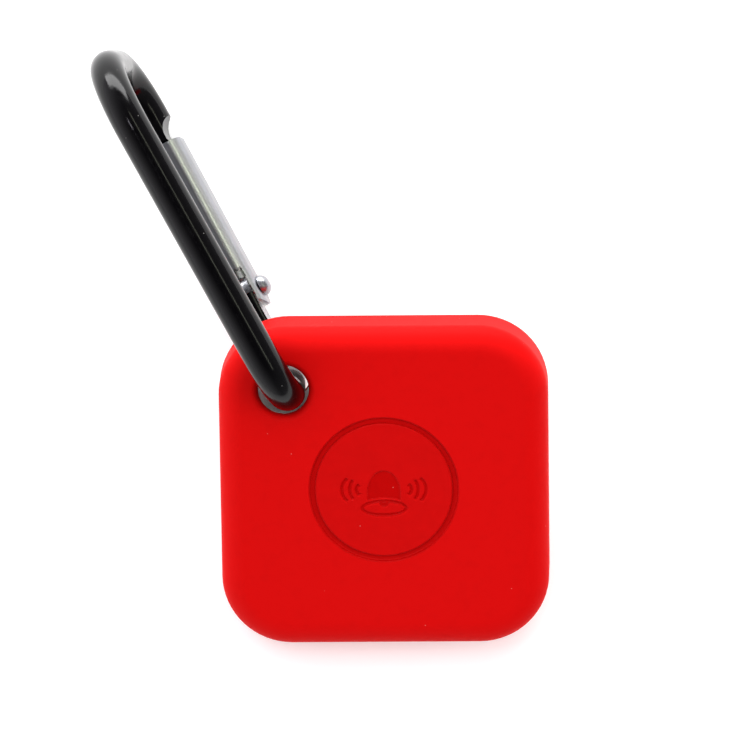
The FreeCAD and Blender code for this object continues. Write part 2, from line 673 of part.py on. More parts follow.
# ================================================================= placing
def loop_placement():
    """Loop frame in the tag's frame: the rod's bottom stretch runs along the corner hole."""
    along_tag = FreeCAD.Rotation(Vector(0, 1, 0), Vector(0, 0, -1), Vector(-1, 0, 0), "XYZ")
    swing = FreeCAD.Rotation(Vector(0, 0, 1), LOOP_SWING)
    pitch = FreeCAD.Rotation(Vector(1, 0, 0), -LOOP_BOTTOM_SLOPE)
    roll = FreeCAD.Rotation(Vector(1, 0, 0), LOOP_ROLL)
    turn = swing * pitch * along_tag * roll
    rod = Vector(HOLE_X + ROD_OFFSET_X, HOLE_Y + ROD_OFFSET_Y, 0)
    return FreeCAD.Placement(rod - turn.multVec(Vector(0, LOOP_HOLE_Y, 0)), turn)


TAG_NODES = {
    "silicone_sleeve": make_silicone_sleeve,
    "press_pad": make_press_pad,
    "front_housing": make_front_housing,
    "back_housing": make_back_housing,
    "housing_seal": make_housing_seal,
    "button_cap": make_button_cap,
    "circuit_board": make_circuit_board,
    "bluetooth_chip": make_bluetooth_chip,
    "crystal": make_crystal,
    "chip_antenna": make_chip_antenna,
    "chip_capacitors": make_chip_capacitors,
    "switch_body": make_switch_body,
    "switch_plunger": make_switch_plunger,
    "sounder_ring": make_sounder_ring,
    "sounder_plate": make_sounder_plate,
    "sounder_ceramic": make_sounder_ceramic,
    "sounder_springs": make_sounder_springs,
    "cell_can": make_cell_can,
    "cell_gasket": make_cell_gasket,
    "cell_cap": make_cell_cap,
    "cell_pellet": make_cell_pellet,
    "negative_contact": make_negative_contact,
    "positive_contact": make_positive_contact,
    "battery_cover": make_battery_cover,
    "cover_seal": make_cover_seal,
}
LOOP_NODES = {
    "carabiner_body": make_carabiner_body,
    "carabiner_gate": make_carabiner_gate,
    "gate_rivet": make_gate_rivet,
    "gate_plunger": make_gate_plunger,
    "gate_spring": make_gate_spring,
}


def build():
    """All nodes in the tag's frame."""
    shapes = {name: make() for name, make in TAG_NODES.items()}
    for name, make in LOOP_NODES.items():
        shape = make()
        shape.Placement = loop_placement().multiply(shape.Placement)
        shapes[name] = shape
    return shapes


def lay_down(shapes):
    """Tilt the nodes onto the table and put the origin under the middle of their box."""
    tilt = FreeCAD.Placement(Vector(), FreeCAD.Rotation(Vector(1, 0, 0), TAG_TILT))
    for shape in shapes.values():
        shape.Placement = tilt.multiply(shape.Placement)
    box = Part.makeCompound(list(shapes.values())).optimalBoundingBox(False, False)
    shift = Vector(-box.Center.x, -box.Center.y, -box.ZMin)
    for shape in shapes.values():
        shape.translate(shift)
    return FreeCAD.Placement(shift, tilt.Rotation)


def write(shapes):
    """One STEP file for each node."""
    os.makedirs("parts", exist_ok=True)
    for name, shape in shapes.items():
        shape.exportStep("parts/%s.step" % name)


nodes = build()
tag_placement = lay_down(nodes)
write(nodes)
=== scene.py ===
import json
import math
import bmesh
import bpy
from mathutils import Euler, Matrix, Vector


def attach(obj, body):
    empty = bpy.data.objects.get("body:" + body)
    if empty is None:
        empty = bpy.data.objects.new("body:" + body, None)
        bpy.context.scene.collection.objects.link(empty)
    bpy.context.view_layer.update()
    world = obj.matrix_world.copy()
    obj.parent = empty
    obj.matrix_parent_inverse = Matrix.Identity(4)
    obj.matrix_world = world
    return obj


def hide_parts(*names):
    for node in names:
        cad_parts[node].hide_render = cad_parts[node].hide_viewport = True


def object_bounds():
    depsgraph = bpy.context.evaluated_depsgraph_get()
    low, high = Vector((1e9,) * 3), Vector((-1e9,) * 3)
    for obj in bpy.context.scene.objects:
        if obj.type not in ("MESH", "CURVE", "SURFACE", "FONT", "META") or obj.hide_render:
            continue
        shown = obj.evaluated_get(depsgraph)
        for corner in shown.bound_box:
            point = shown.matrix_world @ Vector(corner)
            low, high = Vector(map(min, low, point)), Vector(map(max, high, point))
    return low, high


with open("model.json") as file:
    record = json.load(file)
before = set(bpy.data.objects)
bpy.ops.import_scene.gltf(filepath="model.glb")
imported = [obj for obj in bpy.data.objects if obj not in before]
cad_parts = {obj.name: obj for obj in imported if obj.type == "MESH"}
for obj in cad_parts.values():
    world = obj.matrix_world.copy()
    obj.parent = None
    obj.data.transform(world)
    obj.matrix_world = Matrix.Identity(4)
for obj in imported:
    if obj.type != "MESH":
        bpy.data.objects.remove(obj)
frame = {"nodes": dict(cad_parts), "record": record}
cad_low, cad_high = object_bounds()

MM = 0.001
NODES = frame["nodes"]
JOINTS = {joint["name"]: joint for joint in frame["record"]["behaviour"]["joints"]}

# Sizes in mm. The sleeve's sides, pocket, window and hole are the CAD's. Its soft edges, groove depth,
# pad gap, parting line and symbol are finer than the CAD's and are set here.
TAG_HALF_BACK = 3.3
SLEEVE_SIDE = 37.5
SLEEVE_CORNER = 8.0
FRONT_Z = 4.1
BACK_Z = -4.1
FACE_SHOULDER = (2.8, 2.4)
BACK_SHOULDER = (1.8, 1.4)
PARTING_Z = -2.3
PARTING_HALF = 0.10
PARTING_HEIGHT = 0.03
POCKET_SIDE = 35.1
POCKET_CORNER = 6.8
POCKET_FRONT_Z = 2.95
POCKET_BACK_Z = -3.35
WINDOW_SIDE = 29.0
WINDOW_CORNER = 4.5
BACK_EDGE = 0.3
HOLE = (-11.3, 11.7)
HOLE_RADIUS = 2.9
HOLE_LAND_RADIUS = 5.0
HOLE_LIP = 0.8
GROOVE_RADIUS = 8.45
GROOVE_FLOOR_Z = 3.78
GROOVE_FOOT = 0.2
PAD_RADIUS = 7.85
PAD_GAP = 0.02
PAD_BACK_Z = 2.9
SOFT_EDGE = 0.18
SYMBOL_DEPTH = 0.2
SYMBOL_SOFTNESS = 0.09
SYMBOL_STROKE = 0.35
BELL_DOME = (0.0, -0.43, 1.91, 2.67)
BELL_RIM = (0.0, -2.2, 2.66, 1.0)
BELL_FOOT_Y = -1.5
BELL_RIDGE = 0.17
CLAPPER = (0.0, -1.5, 0.58)
SOUND_WAVES = [(3.15, 0.70, 0.50), (3.90, 1.90, 1.00), (4.80, 1.75, 1.22)]
ROD_RADIUS = 2.0

# Parts of a moulding that have a finish of their own, smoother and painted darker as shade; 0 is its
# main finish.
SLEEVE_GROOVE = 1
PAD_SYMBOL = 1
PAD_SIDE = 2


# ------------------------------------------------------------------ frames taken from the joints
def axes_matrix(origin, x_axis, z_axis):
    """4x4 of a right-handed frame with the given origin, X axis and Z axis."""
    x_axis = x_axis.normalized()
    z_axis = z_axis.normalized()
    y_axis = z_axis.cross(x_axis)
    turn = Matrix((x_axis, y_axis, z_axis)).transposed().to_4x4()
    return Matrix.Translation(origin) @ turn


def tag_frame():
    """Frame of the tag: X right, Y up, Z out of its face, origin at its middle."""
    cover = JOINTS["battery_cover_turn"]
    normal = -Vector(cover["axis"])
    middle = Vector(cover["pos_m"]) + normal * (TAG_HALF_BACK * MM)
    return axes_matrix(middle, Vector((1, 0, 0)), normal)


def gate_frame():
    """Frame of the gate: X from rivet to nose, Z across the loop, origin at the rivet."""
    pivot = JOINTS["gate_pivot"]
    along = Vector(JOINTS["plunger_slide"]["axis"])
    return axes_matrix(Vector(pivot["pos_m"]), along, -Vector(pivot["axis"]))


TAG = tag_frame()
GATE = gate_frame()


# ------------------------------------------------------------------ outlines, in mm in the tag's frame
CORNER_STEPS = 16
EDGE_STEPS = 16


def square_loop(side, corner, z):
    """Closed loop round a square with rounded corners, starting at the right edge's top."""
    reach = side / 2 - corner
    points = []
    for quarter in range(4):
        turn = Matrix.Rotation(quarter * math.pi / 2, 2)
        for step in range(CORNER_STEPS):
            angle = step / CORNER_STEPS * math.pi / 2
            across = reach + corner * math.cos(angle)
            up = reach + corner * math.sin(angle)
            place = turn @ Vector((across, up))
            points.append((place.x, place.y, z))
        for step in range(EDGE_STEPS):
            place = turn @ Vector((reach - 2 * reach * step / EDGE_STEPS, reach + corner))
            points.append((place.x, place.y, z))
    return points


def circle_loop(radius, z, centre=(0.0, 0.0), steps=160):
    """Closed loop round a circle."""
    angles = [2 * math.pi * step / steps for step in range(steps)]
    return [(centre[0] + radius * math.cos(a), centre[1] + radius * math.sin(a), z) for a in angles]


def arc_points(centre, radius, start, end, z, steps):
    """Open run of points on an arc between two angles."""
    angles = [start + (end - start) * step / steps for step in range(steps)]
    return [(centre[0] + radius * math.cos(a), centre[1] + radius * math.sin(a), z) for a in angles]


def window_loop(grow, z):
    """Loop round the sleeve's back window, which leaves a round land at the corner hole."""
    half = WINDOW_SIDE / 2 + grow
    corner = WINDOW_CORNER + grow
    land = HOLE_LAND_RADIUS - grow
    reach = half - corner
    drop = math.sqrt(land ** 2 - (half + HOLE[0]) ** 2)
    shift = math.sqrt(land ** 2 - (half - HOLE[1]) ** 2)
    low_angle = math.atan2(-drop, -half - HOLE[0])
    high_angle = math.atan2(half - HOLE[1], shift)
    points = arc_points(HOLE, land, low_angle, high_angle, z, 40)
    corners = [((reach, reach), math.pi / 2), ((reach, -reach), 0.0),
               ((-reach, -reach), -math.pi / 2)]
    starts = [(HOLE[0] + shift, half), (half, reach), (reach, -half), (-half, -reach)]
    ends = [(reach, half), (half, -reach), (-reach, -half), (-half, HOLE[1] - drop)]
    for index in range(4):
        for step in range(EDGE_STEPS):
            place = Vector(starts[index]).lerp(Vector(ends[index]), step / EDGE_STEPS)
            points.append((place.x, place.y, z))
        if index < 3:
            centre, angle = corners[index]
            points += arc_points(centre, corner, angle, angle - math.pi / 2, z, CORNER_STEPS)
    return points


def shoulder(width, height, steps):
    """(inset, drop) pairs from a flat over a quarter ellipse to the wall."""
    angles = [math.pi / 2 * step / steps for step in range(steps + 1)]
    return [(width * (1 - math.sin(a)), height * (1 - math.cos(a))) for a in angles]


def quarter_round(radius, steps=7):
    """(inset, drop) pairs from a flat over a quarter circle to the wall."""
    return shoulder(radius, radius, steps)


# ------------------------------------------------------------------ mesh building
class Moulding:
    """A mesh built from loops, in mm in the tag's frame."""

    def __init__(self):
        self.mesh = bmesh.new()

    def loop(self, points):
        """New vertices and edges round a closed loop."""
        verts = [self.mesh.verts.new(point) for point in points]
        for index, vert in enumerate(verts):
            self.mesh.edges.new((vert, verts[index - 1]))
        return verts

    def skin(self, loops, finish=0):
        """Quads between each loop and the next, with the finish's material."""
        for first, second in zip(loops, loops[1:]):
            for index in range(len(first)):
                corners = (first[index - 1], first[index], second[index], second[index - 1])
                self.mesh.faces.new(corners).material_index = finish

    def plate(self, *loops):
        """Flat faces between an outer loop and the loops inside it."""
        edges = []
        for loop in loops:
            for index, vert in enumerate(loop):
                edges.append(self.mesh.edges.get((vert, loop[index - 1])))
        bmesh.ops.triangle_fill(self.mesh, use_beauty=True, edges=edges)

    def piece(self, name, finishes):
        """Finished object in the world, smooth, with the flats kept flat."""
        bmesh.ops.recalc_face_normals(self.mesh, faces=self.mesh.faces)
        data = bpy.data.meshes.new(name)
        self.mesh.to_mesh(data)
        self.mesh.free()
        data.transform(TAG @ Matrix.Diagonal((MM, MM, MM, 1.0)))
        data.shade_smooth()
        data.set_sharp_from_angle(angle=math.radians(50))
        for finish in finishes:
            data.materials.append(finish)
        piece = bpy.data.objects.new(name, data)
        bpy.context.scene.collection.objects.link(piece)
        normals = piece.modifiers.new("flat_faces", "WEIGHTED_NORMAL")
        normals.keep_sharp = True
        return piece


def outer_skin(build):
    """Sleeve's outside, from the face's edge round the wall to the back; returns both end loops."""
    profile = [(inset, FRONT_Z - drop) for inset, drop in shoulder(*FACE_SHOULDER, 14)]
    profile.append((0.0, PARTING_Z + PARTING_HALF))
    profile.append((-PARTING_HEIGHT, PARTING_Z))
    profile.append((0.0, PARTING_Z - PARTING_HALF))
    profile += [(inset, BACK_Z + drop) for inset, drop in reversed(shoulder(*BACK_SHOULDER, 10))]
    loops = []
    for inset, z in profile:
        loops.append(build.loop(square_loop(SLEEVE_SIDE - 2 * inset, SLEEVE_CORNER - inset, z)))
    build.skin(loops)
    return loops[0], loops[-1]


def round_opening(build, profile, centre, finish=0):
    """Skin round an opening's axis from (radius, z) pairs; returns both end loops."""
    loops = [build.loop(circle_loop(radius, z, centre)) for radius, z in profile]
    build.skin(loops, finish)
    return loops[0], loops[-1]


def make_sleeve(finishes):
    """Silicone sleeve with its soft groove, rolled hole lip, pocket and open back."""
    build = Moulding()
    face_edge, back_edge = outer_skin(build)
    opening = PAD_RADIUS + PAD_GAP
    groove = [(GROOVE_RADIUS + inset, FRONT_Z - drop) for inset, drop in quarter_round(SOFT_EDGE)]
    for inset, drop in quarter_round(GROOVE_FOOT):
        groove.append((GROOVE_RADIUS - drop, GROOVE_FLOOR_Z + inset))
    groove += [(opening, GROOVE_FLOOR_Z), (opening, POCKET_FRONT_Z)]
    groove_top, groove_back = round_opening(build, groove, (0.0, 0.0), SLEEVE_GROOVE)
    lip = [(HOLE_RADIUS + inset, FRONT_Z - drop) for inset, drop in quarter_round(HOLE_LIP, 12)]
    lip.append((HOLE_RADIUS, POCKET_FRONT_Z))
    lip_top, lip_back = round_opening(build, lip, HOLE)
    rear = [(HOLE_RADIUS, POCKET_BACK_Z)]
    for inset, drop in reversed(quarter_round(BACK_EDGE)):
        rear.append((HOLE_RADIUS + inset, BACK_Z + drop))
    rear_front, rear_back = round_opening(build, rear, HOLE)
    window = [build.loop(window_loop(inset, BACK_Z + drop)) for inset, drop in quarter_round(BACK_EDGE)]
    window.append(build.loop(window_loop(0.0, POCKET_BACK_Z)))
    build.skin(window)
    ceiling = build.loop(square_loop(POCKET_SIDE, POCKET_CORNER, POCKET_FRONT_Z))
    floor = build.loop(square_loop(POCKET_SIDE, POCKET_CORNER, POCKET_BACK_Z))
    build.skin([ceiling, floor])
    build.plate(face_edge, groove_top, lip_top)
    build.plate(ceiling, groove_back, lip_back)
    build.plate(floor, window[-1], rear_front)
    build.plate(back_edge, window[0], rear_back)
    return build.piece("silicone_sleeve_soft", finishes)


# ------------------------------------------------------------------ press pad with its sunk symbol
def ellipse_distance(x, y, centre_x, centre_y, half_width, half_height):
    """Distance to an ellipse, negative inside; good near its edge."""
    across = (x - centre_x) / half_width
    up = (y - centre_y) / half_height
    size = math.hypot(across, up)
    slope = math.hypot(across / half_width, up / half_height)
    return size * (size - 1) / slope if slope > 1e-9 else -min(half_width, half_height)


def bell_distance(x, y):
    """Distance to the bell's sunk outline, negative inside it."""
    dome = ellipse_distance(x, y, *BELL_DOME)
    if y < BELL_DOME[1]:
        dome = max(abs(x) - BELL_DOME[2], BELL_FOOT_Y - y)
    rim = ellipse_distance(x, y, *BELL_RIM)
    dome = max(dome, BELL_RIDGE - rim)
    inner = ellipse_distance(x, y, BELL_RIM[0], BELL_RIM[1], BELL_RIM[2] - SYMBOL_STROKE,
                             BELL_RIM[3] - SYMBOL_STROKE)
    clapper = max(math.hypot(x - CLAPPER[0], y - CLAPPER[1]) - CLAPPER[2], y - CLAPPER[1])
    return min(max(min(dome, rim), -inner), clapper)


def wave_distance(x, y, distance, radius, half_height):
    """Distance to a sound wave, which is an arc with round ends on each side of the bell."""
    x = abs(x)
    centre = distance - radius
    end_x = centre + math.sqrt(radius ** 2 - half_height ** 2)
    if abs(y) > half_height or x < centre:
        return math.hypot(x - end_x, abs(y) - half_height) - SYMBOL_STROKE / 2
    return abs(math.hypot(x - centre, y) - radius) - SYMBOL_STROKE / 2


def symbol_depth(x, y):
    """How far the pad's face is sunk at a place."""
    distance = bell_distance(x, y)
    for wave in SOUND_WAVES:
        distance = min(distance, wave_distance(x, y, *wave))
    share = min(max(0.5 - distance / (2 * SYMBOL_SOFTNESS), 0.0), 1.0)
    return SYMBOL_DEPTH * share * share * (3 - 2 * share)


PAD_GRID = 220


def disc_place(across, up, radius):
    """Place on a disc for a place on the square from -1 to 1, with even spacing."""
    if across == 0 and up == 0:
        return 0.0, 0.0
    if abs(across) > abs(up):
        reach = across
        angle = math.pi / 4 * up / across
    else:
        reach = up
        angle = math.pi / 2 - math.pi / 4 * across / up
    return radius * reach * math.cos(angle), radius * reach * math.sin(angle)


def make_pad(finishes):
    """Round press pad: a fine grid for the sunk, polished bell, and a soft edge into the groove; both
    are painted darker as shade.
    """
    build = Moulding()
    flat_radius = PAD_RADIUS - SOFT_EDGE
    rows = []
    for row in range(PAD_GRID + 1):
        line = []
        for column in range(PAD_GRID + 1):
            x, y = disc_place(2 * column / PAD_GRID - 1, 2 * row / PAD_GRID - 1, flat_radius)
            line.append(build.mesh.verts.new((x, y, FRONT_Z - symbol_depth(x, y))))
        rows.append(line)
    for low, high in zip(rows, rows[1:]):
        for column in range(PAD_GRID):
            face = build.mesh.faces.new((low[column], low[column + 1], high[column + 1], high[column]))
            # Faces sunk deeper than half the symbol take its smoother finish, painted darker as shade.
            if face.calc_center_median().z < FRONT_Z - SYMBOL_DEPTH / 2:
                face.material_index = PAD_SYMBOL
    rim = rows[0][:-1] + [line[-1] for line in rows[:-1]]
    rim += rows[-1][:0:-1] + [line[0] for line in rows[:0:-1]]
    loops = [rim]
    for inset, drop in quarter_round(SOFT_EDGE)[1:] + [(0.0, FRONT_Z - PAD_BACK_Z)]:
        scale = (PAD_RADIUS - inset) / flat_radius
        points = [(vert.co.x * scale, vert.co.y * scale, FRONT_Z - drop) for vert in rim]
        loops.append([build.mesh.verts.new(point) for point in points])
    build.skin(loops, PAD_SIDE)
    build.mesh.faces.new(loops[-1])
    return build.piece("press_pad_soft", finishes)


# ------------------------------------------------------------------ material helpers
class Paint:
    """A material with its node tree and Principled shader."""

    def __init__(self, name, **values):
        self.material = bpy.data.materials.new(name)
        self.material.use_nodes = True
        self.tree = self.material.node_tree
        self.shader = self.tree.nodes["Principled BSDF"]
        for label, value in values.items():
            self.shader.inputs[label.replace("_", " ")].default_value = value
        self.place = self.add("ShaderNodeTexCoord").outputs["Object"]

    def add(self, kind, **values):
        """New node; names that end in _in set its sockets, other names set its properties."""
        node = self.tree.nodes.new(kind)
        for label, value in values.items():
            if label.endswith("_in"):
                node.inputs[label[:-3].replace("_", " ")].default_value = value
            else:
                setattr(node, label, value)
        return node

    def link(self, output, socket):
        self.tree.links.new(output, socket)
        return output

    def drive(self, output, label):
        """Link a value to one of the shader's sockets."""
        self.link(output, self.shader.inputs[label])

    def noise(self, scale, detail=4.0, stretch=None):
        """Noise from 0 to 1; scale is in features per metre, stretch scales each axis of the tag."""
        node = self.add("ShaderNodeTexNoise", Scale_in=scale, Detail_in=detail)
        source = self.place
        if stretch is not None:
            source = self.math_vector("MULTIPLY", source, stretch)
        self.link(source, node.inputs["Vector"])
        return node.outputs["Fac"]

    def math_vector(self, operation, source, value):
        """Vector maths between a socket and a constant."""
        node = self.add("ShaderNodeVectorMath", operation=operation)
        self.link(source, node.inputs[0])
        node.inputs[1].default_value = value
        return node.outputs["Value" if operation == "DOT_PRODUCT" else "Vector"]

    def math(self, operation, first, second=None):
        """Maths between sockets or numbers."""
        node = self.add("ShaderNodeMath", operation=operation)
        for socket, value in zip(node.inputs, (first, second)):
            if isinstance(value, (int, float)):
                socket.default_value = value
            elif value is not None:
                self.link(value, socket)
        return node.outputs[0]

    def ramp(self, value, low, high, low_to, high_to):
        """Value mapped from one range to another, held at the ends."""
        node = self.add("ShaderNodeMapRange", clamp=True)
        self.link(value, node.inputs["Value"])
        labels = ("From Min", "From Max", "To Min", "To Max")
        for label, number in zip(labels, (low, high, low_to, high_to)):
            node.inputs[label].default_value = number
        return node.outputs["Result"]

    def mix(self, factor, first, second):
        """Colour between two colours, each a tuple or a socket."""
        node = self.add("ShaderNodeMix", data_type="RGBA")
        self.link(factor, node.inputs["Factor"])
        for label, value in (("A", first), ("B", second)):
            socket = [s for s in node.inputs if s.name == label and s.type == "RGBA"][0]
            if isinstance(value, tuple):
                socket.default_value = value
            else:
                self.link(value, socket)
        return [s for s in node.outputs if s.type == "RGBA"][0]

    def bump(self, height, distance, strength=1.0):
        """Bump from a height value; distance in metres."""
        node = self.add("ShaderNodeBump", Strength_in=strength, Distance_in=distance)
        self.link(height, node.inputs["Height"])
        self.drive(node.outputs["Normal"], "Normal")

    def specks(self, scale, size, share):
        """Mask of sparse round specks: size in cells, share of the cells that hold one."""
        cells = self.add("ShaderNodeTexVoronoi", Scale_in=scale, Randomness_in=1.0)
        self.link(self.place, cells.inputs["Vector"])
        chosen = self.add("ShaderNodeSeparateColor")
        self.link(cells.outputs["Color"], chosen.inputs[0])
        near = self.ramp(cells.outputs["Distance"], size * 0.6, size, 1.0, 0.0)
        return self.math("MULTIPLY", near, self.math("LESS_THAN", chosen.outputs[0], share))

    def between(self, value, low, high):
        """Mask of 1 where the value lies between two limits."""
        above = self.math("GREATER_THAN", value, low)
        return self.math("MULTIPLY", above, self.math("LESS_THAN", value, high))

    def lengthwise(self, matrix, scale, stretch):
        """Streaky noise whose streaks follow a frame's X axis; scale is in streaks per mm."""
        place = self.add("ShaderNodeCombineXYZ")
        for axis, share in enumerate((scale / stretch, scale, scale)):
            self.link(self.math("MULTIPLY", self.along(matrix, axis), share), place.inputs[axis])
        node = self.add("ShaderNodeTexNoise", Scale_in=1.0, Detail_in=3.0)
        self.link(place.outputs[0], node.inputs["Vector"])
        return node.outputs["Fac"]

    def along(self, matrix, axis):
        """Coordinate in mm along one axis of a frame, for a point of the object at rest."""
        heading = matrix.col[axis].to_3d().normalized()
        value = self.math_vector("DOT_PRODUCT", self.place, tuple(heading / MM))
        return self.math("SUBTRACT", value, matrix.translation.dot(heading) / MM)


def colour(red, green, blue):
    """Linear colour with full alpha."""
    return (red, green, blue, 1.0)


# ------------------------------------------------------------------ materials
SILICONE_RED = colour(0.64, 0.0022, 0.0022)
SILICONE_DUST = colour(0.85, 0.5, 0.45)

# Places on the carabiner, in mm in the gate's frame: where the rod's coat is milled away, the cam at the
# rivet, and how far from the gate's middle the painted highlight along its bends fades in and out.
MILLED_SPAN = (-5.45, 10.0)
MILLED_CLEARANCE = 0.03
CAM_SPAN = (-0.3, 4.0)
CAM_REACH = 3.0
BEND_HIGHLIGHT_STARTS = (0.42, 0.65)
BEND_HIGHLIGHT_ENDS = (1.2, 1.6)


def silicone(name, tone, roughness, grain):
    """Red silicone: a fine skin, a faint mottle and a few specks of dust."""
    paint = Paint(name, Roughness=roughness, Specular_IOR_Level=0.05,
                  Sheen_Weight=0.02, Sheen_Roughness=0.35)
    paint.shader.inputs["Sheen Tint"].default_value = colour(1.0, 0.6, 0.55)
    mottle = paint.ramp(paint.noise(scale=700, detail=3), 0.3, 0.7, 0.97 * tone, 1.03 * tone)
    base = paint.mix(mottle, colour(0.0, 0.0, 0.0), SILICONE_RED)
    dust = paint.math("MULTIPLY", paint.specks(scale=400, size=0.028, share=0.8), 0.35)
    paint.drive(paint.mix(dust, base, SILICONE_DUST), "Base Color")
    paint.bump(paint.noise(scale=16000, detail=2), distance=grain, strength=0.3)
    return paint.material


def black_anodised():
    """Black anodised rod; bare milled metal where the cutter went through the coat."""
    paint = Paint("black_anodised", Specular_IOR_Level=0.26)
    along = paint.along(GATE, 0)
    up = paint.along(GATE, 1)
    across = paint.along(GATE, 2)
    squares = [paint.math("MULTIPLY", value, value) for value in (up, across)]
    reach = paint.math("SQRT", paint.math("ADD", *squares))
    milled = paint.math("LESS_THAN", reach, ROD_RADIUS - MILLED_CLEARANCE)
    milled = paint.math("MULTIPLY", milled, paint.between(along, *MILLED_SPAN))
    cam = paint.math("LESS_THAN", reach, CAM_REACH)
    cam = paint.math("MULTIPLY", cam, paint.between(along, *CAM_SPAN))
    bare = paint.math("MAXIMUM", milled, cam)
    dust = paint.math("MULTIPLY", paint.specks(scale=700, size=0.05, share=0.6), 0.3)
    coat = paint.mix(dust, colour(0.0014, 0.0012, 0.0016), colour(0.6, 0.58, 0.55))
    marks = paint.ramp(paint.noise(scale=3000, detail=3), 0.3, 0.7, 0.0, 1.0)
    metal = paint.mix(marks, colour(0.24, 0.25, 0.27), colour(0.56, 0.57, 0.60))
    paint.drive(paint.mix(bare, coat, metal), "Base Color")
    paint.drive(bare, "Metallic")
    smooth = paint.ramp(paint.noise(scale=1100, detail=4), 0.35, 0.65, 0.11, 0.19)
    paint.drive(paint.math("ADD", smooth, paint.math("MULTIPLY", bare, 0.14)), "Roughness")
    paint.bump(paint.noise(scale=2600, detail=4), distance=0.000008, strength=0.5)
    return paint.material


def bright_steel():
    """Folded sheet steel with faint drawing lines along the gate, and a painted highlight along its
    bends.
    """
    paint = Paint("bright_steel", Metallic=1.0)
    cloud = paint.ramp(paint.noise(scale=500, detail=3), 0.3, 0.7, 0.0, 1.0)
    dull = paint.mix(cloud, colour(0.37, 0.38, 0.40), colour(0.42, 0.43, 0.46))
    # Painted highlight: the bends get a lighter, slightly yellow base colour where the lights reflect.
    across = paint.math("ABSOLUTE", paint.along(GATE, 2))
    rise = paint.ramp(across, *BEND_HIGHLIGHT_STARTS, 0.0, 1.0)
    fall = paint.ramp(across, *BEND_HIGHLIGHT_ENDS, 1.0, 0.0)
    bend_highlight = paint.math("MULTIPLY", rise, fall)
    paint.drive(paint.mix(bend_highlight, dull, colour(0.88, 0.90, 0.86)), "Base Color")
    streaks = paint.lengthwise(GATE, scale=4.0, stretch=40.0)
    paint.drive(paint.ramp(streaks, 0.3, 0.7, 0.31, 0.39), "Roughness")
    paint.bump(streaks, distance=0.000004, strength=0.4)
    return paint.material


def moulded_plastic(name, tone, roughness, grain=0.00003):
    """Spark-eroded moulded plastic, with a slight change of tone."""
    paint = Paint(name)
    darker = tuple(value * 0.7 for value in tone[:3]) + (1.0,)
    cloud = paint.ramp(paint.noise(scale=5000, detail=2), 0.35, 0.65, 0.0, 1.0)
    paint.drive(paint.mix(cloud, darker, tone), "Base Color")
    wear = paint.noise(scale=3500, detail=3)
    paint.drive(paint.ramp(wear, 0.3, 0.7, roughness * 0.9, roughness * 1.1), "Roughness")
    paint.bump(paint.noise(scale=7000, detail=2), distance=grain, strength=0.6)
    return paint.material


def worked_metal(name, tone, roughness):
    """Small bare metal piece with fine rolling marks."""
    paint = Paint(name, Metallic=1.0)
    darker = tuple(value * 0.85 for value in tone[:3]) + (1.0,)
    marks = paint.ramp(paint.noise(scale=2000, detail=3, stretch=(1.0, 8.0, 1.0)), 0.3, 0.7, 0.0, 1.0)
    paint.drive(paint.mix(marks, darker, tone), "Base Color")
    paint.drive(paint.ramp(marks, 0.0, 1.0, roughness * 0.8, roughness * 1.2), "Roughness")
    return paint.material


def assign(material, *names):
    """Give CAD nodes this material."""
    for name in names:
        for place in NODES[name].material_slots:
            place.material = material


def paint_nodes():
    """Every CAD node gets its finish."""
    assign(black_anodised(), "carabiner_body")
    assign(bright_steel(), "carabiner_gate", "gate_rivet", "gate_plunger")
    assign(worked_metal("spring_wire", colour(0.62, 0.60, 0.56), 0.25), "gate_spring")
    assign(moulded_plastic("shell_plastic", colour(0.66, 0.64, 0.61), 0.42),
           "front_housing", "back_housing", "button_cap", "battery_cover")
    assign(moulded_plastic("seal_rubber", colour(0.02, 0.02, 0.02), 0.7),
           "housing_seal", "cover_seal", "cell_gasket", "sounder_ring")
    assign(moulded_plastic("chip_resin", colour(0.015, 0.015, 0.016), 0.5, 0.00001),
           "bluetooth_chip", "switch_body", "switch_plunger", "cell_pellet")
    assign(moulded_plastic("ceramic", colour(0.7, 0.66, 0.56), 0.6, 0.00001),
           "chip_antenna", "chip_capacitors", "sounder_ceramic")
    assign(moulded_plastic("solder_mask", colour(0.01, 0.12, 0.04), 0.3, 0.00001), "circuit_board")
    assign(worked_metal("brass", colour(0.75, 0.5, 0.2), 0.3), "sounder_plate")
    assign(worked_metal("gold_flash", colour(0.8, 0.58, 0.28), 0.3),
           "sounder_springs", "negative_contact", "positive_contact")
    assign(worked_metal("cell_steel", colour(0.7, 0.7, 0.7), 0.25), "cell_can", "cell_cap", "crystal")


def stand_in(piece, body, node):
    """The piece rides on a body and stands for a CAD node."""
    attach(piece, body)
    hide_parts(node)


# ------------------------------------------------------------------ stage, lights and camera
# Lengths in metres, angles in degrees.
FLOOR_HALF = 3.0
FLOOR_GLOW = 0.25


def make_floor():
    """Plain white table under the object, with a little light of its own."""
    corners = [(x * FLOOR_HALF, y * FLOOR_HALF, 0) for x, y in ((-1, -1), (1, -1), (1, 1), (-1, 1))]
    mesh = bpy.data.meshes.new("floor")
    mesh.from_pydata(corners, [], [(0, 1, 2, 3)])
    floor = bpy.data.objects.new("floor", mesh)
    bpy.context.scene.collection.objects.link(floor)
    paint = Paint("floor", Roughness=0.9, Specular_IOR_Level=0.1, Base_Color=colour(0.92, 0.92, 0.92),
                  Emission_Color=colour(1, 1, 1), Emission_Strength=FLOOR_GLOW)
    mesh.materials.append(paint.material)


def direction(azimuth, polar):
    """Unit vector from an azimuth and an angle from straight up, in degrees."""
    azimuth, polar = math.radians(azimuth), math.radians(polar)
    level = math.sin(polar)
    return Vector((level * math.cos(azimuth), level * math.sin(azimuth), math.cos(polar)))


